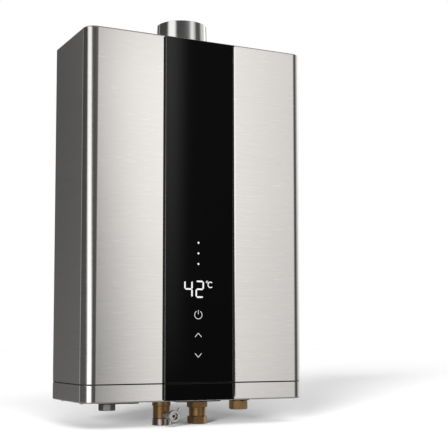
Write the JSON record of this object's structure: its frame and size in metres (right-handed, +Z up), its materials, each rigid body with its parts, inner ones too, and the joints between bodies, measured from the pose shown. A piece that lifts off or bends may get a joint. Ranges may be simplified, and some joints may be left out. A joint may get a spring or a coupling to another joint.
{
  "type": "gas water heater",
  "caption": "Wall-hung instantaneous gas water heater with a brushed steel casing, a black glass strip with a lit readout, a round flue collar and brass fittings.",
  "frame": {"origin": "centre of the casing's wall face, at the casing's mid height", "axes": "+Z up, +Y into the wall, the glass front faces -Y"},
  "size_m": [0.37, 0.15, 0.6396],
  "materials": {
    "brushed_steel": "horizontal brush",
    "polished_steel": "polished",
    "bright_steel": "satin",
    "galvanised_steel": "galvanised",
    "black_glass": "gloss",
    "brass": "dull",
    "nickel": "plated",
    "copper": "bare",
    "cast_aluminium": "cast",
    "black_plastic": "moulded",
    "white_plastic": "moulded",
    "circuit_board": "satin",
    "black_rubber": "matt",
    "grey_silicone": "matt",
    "white_ceramic": "glazed"
  },
  "bodies": {
    "casing": {"rear_plate": "galvanised_steel", "top_plate": "galvanised_steel", "bottom_plate": "galvanised_steel", "front_cover": "brushed_steel", "lower_skirt": "brushed_steel", "casing_screws": "bright_steel", "glass_panel": "black_glass", "skirt_glass": "black_glass", "glass_tape": "black_rubber", "display_board": "circuit_board", "touch_pads": "copper", "flue_collar": "polished_steel", "flue_gasket": "grey_silicone", "fan_scroll": "galvanised_steel", "exhaust_hood": "galvanised_steel", "fan_motor": "galvanised_steel", "motor_bracket": "galvanised_steel", "exchanger_shell": "copper", "exchanger_fins": "copper", "exchanger_tubes": "copper", "inlet_pipe": "copper", "outlet_pipe": "copper", "pipe_union_nuts": "brass", "burner_box": "galvanised_steel", "burner_bars": "bright_steel", "chamber_gasket": "grey_silicone", "gas_manifold": "cast_aluminium", "manifold_nozzles": "brass", "electrode_insulators": "white_ceramic", "electrode_pins": "bright_steel", "gas_valve_body": "cast_aluminium", "main_solenoid": "black_plastic", "modulating_coil": "black_plastic", "gas_riser": "cast_aluminium", "connection_plates": "black_plastic", "cable_gland": "nickel", "inlet_body": "brass", "inlet_filter": "white_plastic", "drain_sleeve": "nickel", "flow_sensor_body": "white_plastic", "outlet_body": "brass", "outlet_lock_nut": "brass", "temperature_sensors": "brass", "gas_inlet_fitting": "brass", "control_box": "white_plastic", "control_board": "circuit_board", "control_lid": "white_plastic", "igniter_module": "black_plastic", "mounting_brackets": "galvanised_steel"},
    "fan_rotor": {"fan_impeller": "galvanised_steel", "motor_shaft": "bright_steel"},
    "flow_wheel": {"flow_rotor": "white_plastic"},
    "main_valve": {"main_plunger": "bright_steel"},
    "modulating_valve": {"modulating_plunger": "bright_steel"},
    "inlet_nut": {"inlet_union_nut": "nickel"},
    "outlet_nut": {"outlet_union_nut": "brass"},
    "gas_nut": {"gas_union_nut": "brass"},
    "drain_spindle": {"drain_plunger": "nickel", "drain_knob": "nickel"}
  },
  "joints": [
    {"name": "fan_spin", "type": "hinge", "parent": "casing", "child": "fan_rotor", "pos_m": [-0.022, -0.079, 0.175], "axis": [0, 1, 0], "continuous": true},
    {"name": "flow_rotor_spin", "type": "hinge", "parent": "casing", "child": "flow_wheel", "pos_m": [-0.031, -0.075, -0.238], "axis": [0, 0, 1], "continuous": true},
    {"name": "main_valve_lift", "type": "slide", "parent": "casing", "child": "main_valve", "axis": [0, 0, 1], "range_m": [0, 0.003], "stiffness_N_per_m": 300, "springref_m": -0.004},
    {"name": "modulating_valve_lift", "type": "slide", "parent": "casing", "child": "modulating_valve", "axis": [0, 0, 1], "range_m": [0, 0.004], "stiffness_N_per_m": 200, "springref_m": -0.005},
    {"name": "inlet_nut_turn", "type": "hinge", "parent": "casing", "child": "inlet_nut", "pos_m": [-0.031, -0.075, -0.315], "axis": [0, 0, 1], "continuous": true},
    {"name": "outlet_nut_turn", "type": "hinge", "parent": "casing", "child": "outlet_nut", "pos_m": [0.031, -0.075, -0.314], "axis": [0, 0, 1], "continuous": true},
    {"name": "gas_nut_turn", "type": "hinge", "parent": "casing", "child": "gas_nut", "pos_m": [0.105, -0.075, -0.292], "axis": [0, 0, 1], "continuous": true},
    {"name": "drain_knob_turn", "type": "hinge", "parent": "casing", "child": "drain_spindle", "pos_m": [-0.031, -0.125, -0.3038], "axis": [0, -1, 0], "range_deg": [0, 450]}
  ]
}
